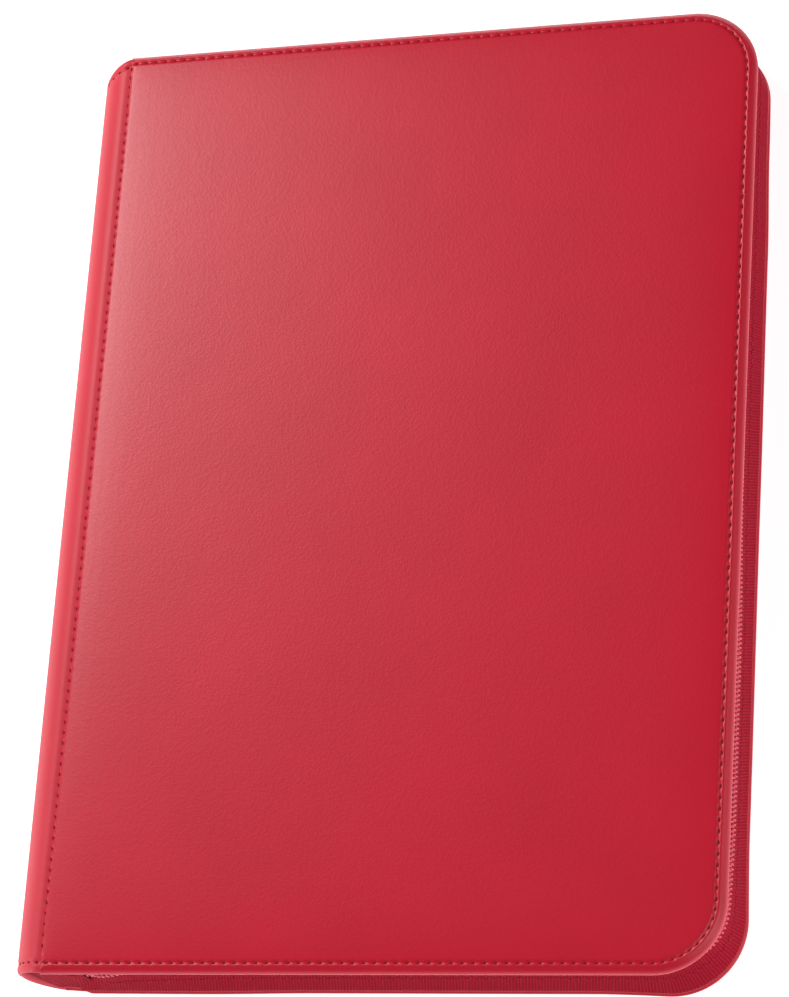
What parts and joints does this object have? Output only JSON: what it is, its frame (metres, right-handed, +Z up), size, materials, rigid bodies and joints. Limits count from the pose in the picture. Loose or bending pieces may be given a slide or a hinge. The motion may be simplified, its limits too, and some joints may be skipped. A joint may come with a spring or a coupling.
{
  "type": "trading card binder",
  "caption": "Zip-around trading card binder with padded leather-look covers, a rounded spine, a ribbed gusset and bound pocket pages that open flat in the middle.",
  "frame": {"origin": "middle of the back cover's outer face, which the closed binder lies on", "axes": "+X from the spine to the opening edge, +Y to the binder's top edge, +Z up through the front cover"},
  "size_m": [0.25, 0.3477, 0.029],
  "materials": {
    "cover_skin": "grained leather-look polyurethane, satin",
    "foam": "white closed-cell foam",
    "board": "grey board",
    "lining": "fine black cloth",
    "gusset_cloth": "ribbed grosgrain, dark red",
    "zip_tape": "woven polyester tape",
    "zip_coil": "dyed nylon coil",
    "zip_metal": "nickel-plated zinc",
    "page": "black backing with clear pocket film",
    "binding": "black welded strip"
  },
  "bodies": {
    "back_cover": {"back_cover_skin": "cover_skin", "back_foam_pad": "foam", "back_board": "board", "back_lining": "lining", "gusset": "gusset_cloth", "zip_tape_back": "zip_tape", "zip_coil_back": "zip_coil", "zip_end_tab_top": "gusset_cloth", "zip_end_tab_bottom": "gusset_cloth", "zip_stop_top": "zip_metal", "zip_stop_bottom": "zip_metal"},
    "spine": {"spine_skin": "cover_skin", "spine_foam_pad": "foam", "spine_lining": "lining", "page_binding_strip": "binding"},
    "front_cover": {"front_cover_skin": "cover_skin", "front_foam_pad": "foam", "front_board": "board", "front_lining": "lining", "zip_tape_front": "zip_tape", "zip_coil_front": "zip_coil"},
    "zip_slider": {"zip_slider_body": "zip_metal", "zip_slider_bridge": "zip_metal"},
    "zip_pull": {"zip_pull_tab": "zip_metal"},
    "page_01": {"page_01": "page"},
    "page_02": {"page_02": "page"},
    "page_03": {"page_03": "page"},
    "page_04": {"page_04": "page"},
    "page_05": {"page_05": "page"},
    "page_06": {"page_06": "page"},
    "page_07": {"page_07": "page"},
    "page_08": {"page_08": "page"},
    "page_09": {"page_09": "page"},
    "page_10": {"page_10": "page"},
    "page_11": {"page_11": "page"},
    "page_12": {"page_12": "page"},
    "page_13": {"page_13": "page"},
    "page_14": {"page_14": "page"},
    "page_15": {"page_15": "page"},
    "page_16": {"page_16": "page"},
    "page_17": {"page_17": "page"},
    "page_18": {"page_18": "page"},
    "page_19": {"page_19": "page"},
    "page_20": {"page_20": "page"}
  },
  "joints": [
    {"name": "spine_fold", "type": "hinge", "parent": "back_cover", "child": "spine", "pos_m": [-0.12075, 0, 0.00425], "axis": [0, -1, 0], "range_deg": [0, 90]},
    {"name": "cover_fold", "type": "hinge", "parent": "spine", "child": "front_cover", "pos_m": [-0.12075, 0, 0.02475], "axis": [0, -1, 0], "range_deg": [0, 90]},
    {"name": "zip_slide", "type": "slide", "parent": "back_cover", "child": "zip_slider", "axis": [1, 0, 0], "range_m": [0, 0.18]},
    {"name": "pull_swing", "type": "hinge", "parent": "zip_slider", "child": "zip_pull", "pos_m": [-0.0946, 0.17365, 0.0195], "axis": [0, 0, 1], "range_deg": [0, 180]},
    {"name": "page_01_turn", "type": "hinge", "parent": "back_cover", "child": "page_01", "pos_m": [-0.117, 0, 0.00515], "axis": [0, -1, 0], "range_deg": [0, 0.6]},
    {"name": "page_02_turn", "type": "hinge", "parent": "back_cover", "child": "page_02", "pos_m": [-0.117, 0, 0.0061], "axis": [0, -1, 0], "range_deg": [0, 1.2]},
    {"name": "page_03_turn", "type": "hinge", "parent": "back_cover", "child": "page_03", "pos_m": [-0.117, 0, 0.00705], "axis": [0, -1, 0], "range_deg": [0, 1.8]},
    {"name": "page_04_turn", "type": "hinge", "parent": "back_cover", "child": "page_04", "pos_m": [-0.117, 0, 0.008], "axis": [0, -1, 0], "range_deg": [0, 2.4]},
    {"name": "page_05_turn", "type": "hinge", "parent": "back_cover", "child": "page_05", "pos_m": [-0.117, 0, 0.00895], "axis": [0, -1, 0], "range_deg": [0, 3]},
    {"name": "page_06_turn", "type": "hinge", "parent": "back_cover", "child": "page_06", "pos_m": [-0.117, 0, 0.0099], "axis": [0, -1, 0], "range_deg": [0, 3.6]},
    {"name": "page_07_turn", "type": "hinge", "parent": "back_cover", "child": "page_07", "pos_m": [-0.117, 0, 0.01085], "axis": [0, -1, 0], "range_deg": [0, 4.2]},
    {"name": "page_08_turn", "type": "hinge", "parent": "back_cover", "child": "page_08", "pos_m": [-0.117, 0, 0.0118], "axis": [0, -1, 0], "range_deg": [0, 4.8]},
    {"name": "page_09_turn", "type": "hinge", "parent": "back_cover", "child": "page_09", "pos_m": [-0.117, 0, 0.01275], "axis": [0, -1, 0], "range_deg": [0, 5.4]},
    {"name": "page_10_turn", "type": "hinge", "parent": "back_cover", "child": "page_10", "pos_m": [-0.117, 0, 0.0137], "axis": [0, -1, 0], "range_deg": [0, 6]},
    {"name": "page_11_turn", "type": "hinge", "parent": "front_cover", "child": "page_11", "pos_m": [-0.117, 0, 0.0153], "axis": [0, 1, 0], "range_deg": [0, 6]},
    {"name": "page_12_turn", "type": "hinge", "parent": "front_cover", "child": "page_12", "pos_m": [-0.117, 0, 0.01625], "axis": [0, 1, 0], "range_deg": [0, 5.4]},
    {"name": "page_13_turn", "type": "hinge", "parent": "front_cover", "child": "page_13", "pos_m": [-0.117, 0, 0.0172], "axis": [0, 1, 0], "range_deg": [0, 4.8]},
    {"name": "page_14_turn", "type": "hinge", "parent": "front_cover", "child": "page_14", "pos_m": [-0.117, 0, 0.01815], "axis": [0, 1, 0], "range_deg": [0, 4.2]},
    {"name": "page_15_turn", "type": "hinge", "parent": "front_cover", "child": "page_15", "pos_m": [-0.117, 0, 0.0191], "axis": [0, 1, 0], "range_deg": [0, 3.6]},
    {"name": "page_16_turn", "type": "hinge", "parent": "front_cover", "child": "page_16", "pos_m": [-0.117, 0, 0.02005], "axis": [0, 1, 0], "range_deg": [0, 3]},
    {"name": "page_17_turn", "type": "hinge", "parent": "front_cover", "child": "page_17", "pos_m": [-0.117, 0, 0.021], "axis": [0, 1, 0], "range_deg": [0, 2.4]},
    {"name": "page_18_turn", "type": "hinge", "parent": "front_cover", "child": "page_18", "pos_m": [-0.117, 0, 0.02195], "axis": [0, 1, 0], "range_deg": [0, 1.8]},
    {"name": "page_19_turn", "type": "hinge", "parent": "front_cover", "child": "page_19", "pos_m": [-0.117, 0, 0.0229], "axis": [0, 1, 0], "range_deg": [0, 1.2]},
    {"name": "page_20_turn", "type": "hinge", "parent": "front_cover", "child": "page_20", "pos_m": [-0.117, 0, 0.02385], "axis": [0, 1, 0], "range_deg": [0, 0.6]}
  ],
  "couplings": [
    {"joint": "cover_fold", "follows": "spine_fold", "ratio": 1},
    {"joint": "page_01_turn", "follows": "spine_fold", "ratio": 0.006666},
    {"joint": "page_02_turn", "follows": "spine_fold", "ratio": 0.013332},
    {"joint": "page_03_turn", "follows": "spine_fold", "ratio": 0.019999},
    {"joint": "page_04_turn", "follows": "spine_fold", "ratio": 0.026666},
    {"joint": "page_05_turn", "follows": "spine_fold", "ratio": 0.033332},
    {"joint": "page_06_turn", "follows": "spine_fold", "ratio": 0.039999},
    {"joint": "page_07_turn", "follows": "spine_fold", "ratio": 0.046666},
    {"joint": "page_08_turn", "follows": "spine_fold", "ratio": 0.053332},
    {"joint": "page_09_turn", "follows": "spine_fold", "ratio": 0.059999},
    {"joint": "page_10_turn", "follows": "spine_fold", "ratio": 0.066666},
    {"joint": "page_11_turn", "follows": "spine_fold", "ratio": 0.066666},
    {"joint": "page_12_turn", "follows": "spine_fold", "ratio": 0.059999},
    {"joint": "page_13_turn", "follows": "spine_fold", "ratio": 0.053332},
    {"joint": "page_14_turn", "follows": "spine_fold", "ratio": 0.046666},
    {"joint": "page_15_turn", "follows": "spine_fold", "ratio": 0.039999},
    {"joint": "page_16_turn", "follows": "spine_fold", "ratio": 0.033332},
    {"joint": "page_17_turn", "follows": "spine_fold", "ratio": 0.026666},
    {"joint": "page_18_turn", "follows": "spine_fold", "ratio": 0.019999},
    {"joint": "page_19_turn", "follows": "spine_fold", "ratio": 0.013332},
    {"joint": "page_20_turn", "follows": "spine_fold", "ratio": 0.006666}
  ]
}
